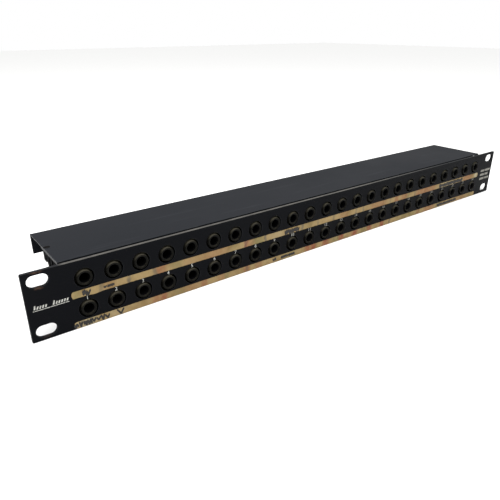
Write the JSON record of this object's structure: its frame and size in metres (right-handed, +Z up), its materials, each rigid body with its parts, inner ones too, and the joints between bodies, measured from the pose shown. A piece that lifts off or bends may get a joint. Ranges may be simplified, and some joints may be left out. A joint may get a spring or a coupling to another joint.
{
  "type": "audio patch bay",
  "caption": "One-unit rack panel with two rows of quarter-inch phone sockets, folded covers and an open wired rear.",
  "frame": {"origin": "centre of the four rack slots, on the panel's front face", "axes": "+X to the right seen from the front, +Y to the rear, +Z up"},
  "size_m": [0.4826, 0.061, 0.0436],
  "materials": {
    "front_panel": "satin black paint on aluminium",
    "cover": "charcoal satin powder coat on steel",
    "bracket": "black passivated zinc plate",
    "board": "glass-epoxy board with green resist",
    "housing": "moulded black nylon",
    "spring": "nickel-plated spring brass",
    "tag": "tinned brass",
    "black_screw": "blackened steel",
    "screw": "zinc-plated",
    "tape": "creped masking tape"
  },
  "bodies": {
    "bay": {"front_panel": "front_panel", "top_cover": "cover", "bottom_cover": "cover", "end_bracket_left": "bracket", "end_bracket_right": "bracket", "jack_board": "board", "cover_screws": "black_screw", "board_screws": "screw", "stud_nuts": "screw", "label_tape_upper": "tape", "label_tape_lower": "tape", "jack_housings_upper": "housing", "tip_tags_upper": "tag", "ring_tags_upper": "tag", "sleeve_tags_upper": "tag", "tip_breaks_upper": "tag", "ring_breaks_upper": "tag", "wire_lugs_upper": "tag", "jack_housings_lower": "housing", "tip_tags_lower": "tag", "ring_tags_lower": "tag", "sleeve_tags_lower": "tag", "tip_breaks_lower": "tag", "ring_breaks_lower": "tag", "wire_lugs_lower": "tag"},
    "tip_arms_upper": {"tip_arms_upper": "spring"},
    "ring_arms_upper": {"ring_arms_upper": "spring"},
    "sleeve_arms_upper": {"sleeve_arms_upper": "spring"},
    "tip_arms_lower": {"tip_arms_lower": "spring"},
    "ring_arms_lower": {"ring_arms_lower": "spring"},
    "sleeve_arms_lower": {"sleeve_arms_lower": "spring"}
  },
  "joints": [
    {"name": "tip_arms_upper_flex", "type": "hinge", "parent": "bay", "child": "tip_arms_upper", "pos_m": [0, 0.0465, 0.0164], "axis": [-1, 0, 0], "range_deg": [0, 3], "stiffness_Nm_per_rad": 0.02},
    {"name": "ring_arms_upper_flex", "type": "hinge", "parent": "bay", "child": "ring_arms_upper", "pos_m": [0, 0.04, 0.005], "axis": [1, 0, 0], "range_deg": [0, 3], "stiffness_Nm_per_rad": 0.02},
    {"name": "sleeve_arms_upper_flex", "type": "hinge", "parent": "bay", "child": "sleeve_arms_upper", "pos_m": [0, 0.0335, 0.0164], "axis": [-1, 0, 0], "range_deg": [0, 3], "stiffness_Nm_per_rad": 0.02},
    {"name": "tip_arms_lower_flex", "type": "hinge", "parent": "bay", "child": "tip_arms_lower", "pos_m": [0, 0.0465, -0.0164], "axis": [1, 0, 0], "range_deg": [0, 3], "stiffness_Nm_per_rad": 0.02},
    {"name": "ring_arms_lower_flex", "type": "hinge", "parent": "bay", "child": "ring_arms_lower", "pos_m": [0, 0.04, -0.005], "axis": [-1, 0, 0], "range_deg": [0, 3], "stiffness_Nm_per_rad": 0.02},
    {"name": "sleeve_arms_lower_flex", "type": "hinge", "parent": "bay", "child": "sleeve_arms_lower", "pos_m": [0, 0.0335, -0.0164], "axis": [1, 0, 0], "range_deg": [0, 3], "stiffness_Nm_per_rad": 0.02}
  ]
}
